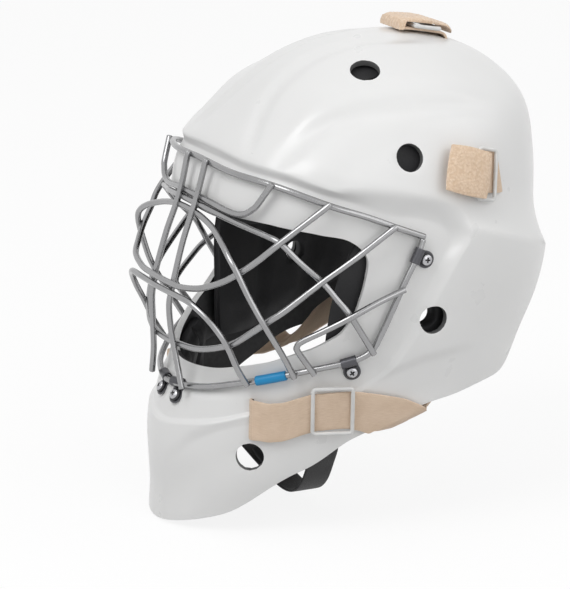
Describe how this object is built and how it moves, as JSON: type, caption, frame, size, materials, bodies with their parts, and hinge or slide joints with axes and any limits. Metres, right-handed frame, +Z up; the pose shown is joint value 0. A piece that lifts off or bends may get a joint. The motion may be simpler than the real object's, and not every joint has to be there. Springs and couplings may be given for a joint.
{
  "type": "goalie mask",
  "caption": "White moulded goalie mask with a bent wire face cage, foam liner, elastic harness, hinged back plate and chin sling.",
  "frame": {"origin": "middle of the line between the two ear holes", "axes": "+X towards the wearer's left, -Y to the front, +Z up"},
  "size_m": [0.226, 0.257, 0.3119],
  "materials": {
    "shell_white": "smooth gloss",
    "plate_white": "smooth gloss",
    "cage_wire": "bright plated",
    "sleeve_blue": "plain",
    "clip_grey": "satin",
    "washer_black": "satin",
    "screw_steel": "plated",
    "foam_black": "matt foam",
    "slider_white": "coated wire",
    "elastic_beige": "woven elastic",
    "snap_dark": "satin",
    "webbing_black": "woven",
    "cup_black": "soft pad"
  },
  "bodies": {
    "mask": {"shell": "shell_white", "frame_wire_top": "cage_wire", "frame_wire_side": "cage_wire", "center_bar_left": "cage_wire", "center_bar_right": "cage_wire", "brow_loop": "cage_wire", "eye_arch": "cage_wire", "inner_arch": "cage_wire", "cross_wire_upper": "cage_wire", "cross_wire_lower": "cage_wire", "cheek_wire_left": "cage_wire", "cheek_wire_right": "cage_wire", "nose_arch": "cage_wire", "wire_sleeve": "sleeve_blue", "clips": "clip_grey", "clip_washers": "washer_black", "clip_screws": "screw_steel", "clip_nuts": "screw_steel", "brow_pad": "foam_black", "crown_pad": "foam_black", "temple_pad_left": "foam_black", "temple_pad_right": "foam_black", "cheek_pad_left": "foam_black", "cheek_pad_right": "foam_black", "jaw_pad_left": "foam_black", "jaw_pad_right": "foam_black", "top_strap": "elastic_beige", "top_tab": "elastic_beige", "temple_strap_left": "elastic_beige", "temple_strap_right": "elastic_beige", "temple_tab_left": "elastic_beige", "temple_tab_right": "elastic_beige", "cheek_strap_left": "elastic_beige", "cheek_strap_right": "elastic_beige", "sling_snaps": "snap_dark"},
    "back_plate": {"back_plate": "plate_white", "back_pad": "foam_black"},
    "chin_sling": {"chin_sling": "webbing_black", "chin_cup": "cup_black"},
    "cheek_slider_left": {"cheek_slider_left": "slider_white"},
    "cheek_slider_right": {"cheek_slider_right": "slider_white"},
    "temple_slider_left": {"temple_slider_left": "slider_white"},
    "temple_slider_right": {"temple_slider_right": "slider_white"},
    "top_slider": {"top_slider": "slider_white"}
  },
  "joints": [
    {"name": "back_plate_swing", "type": "hinge", "parent": "mask", "child": "back_plate", "pos_m": [0, 0.104, 0.086], "axis": [1, 0, 0], "range_deg": [0, 35], "stiffness_Nm_per_rad": 2, "springref_deg": -17.19},
    {"name": "chin_sling_swing", "type": "hinge", "parent": "mask", "child": "chin_sling", "pos_m": [0, -0.057, -0.08], "axis": [1, 0, 0], "range_deg": [-30, 40]},
    {"name": "cheek_slider_left_slide", "type": "slide", "parent": "mask", "child": "cheek_slider_left", "axis": [0.3534, 0.9355, 0], "range_m": [-0.004, 0.004]},
    {"name": "cheek_slider_right_slide", "type": "slide", "parent": "mask", "child": "cheek_slider_right", "axis": [-0.3534, 0.9355, 0], "range_m": [-0.004, 0.004]},
    {"name": "temple_slider_left_slide", "type": "slide", "parent": "mask", "child": "temple_slider_left", "axis": [-0.1702, 0.9568, -0.2357], "range_m": [-0.004, 0.004]},
    {"name": "temple_slider_right_slide", "type": "slide", "parent": "mask", "child": "temple_slider_right", "axis": [0.1702, 0.9568, -0.2357], "range_m": [-0.004, 0.004]},
    {"name": "top_slider_slide", "type": "slide", "parent": "mask", "child": "top_slider", "axis": [0, 0.981, -0.1938], "range_m": [-0.004, 0.004]}
  ]
}
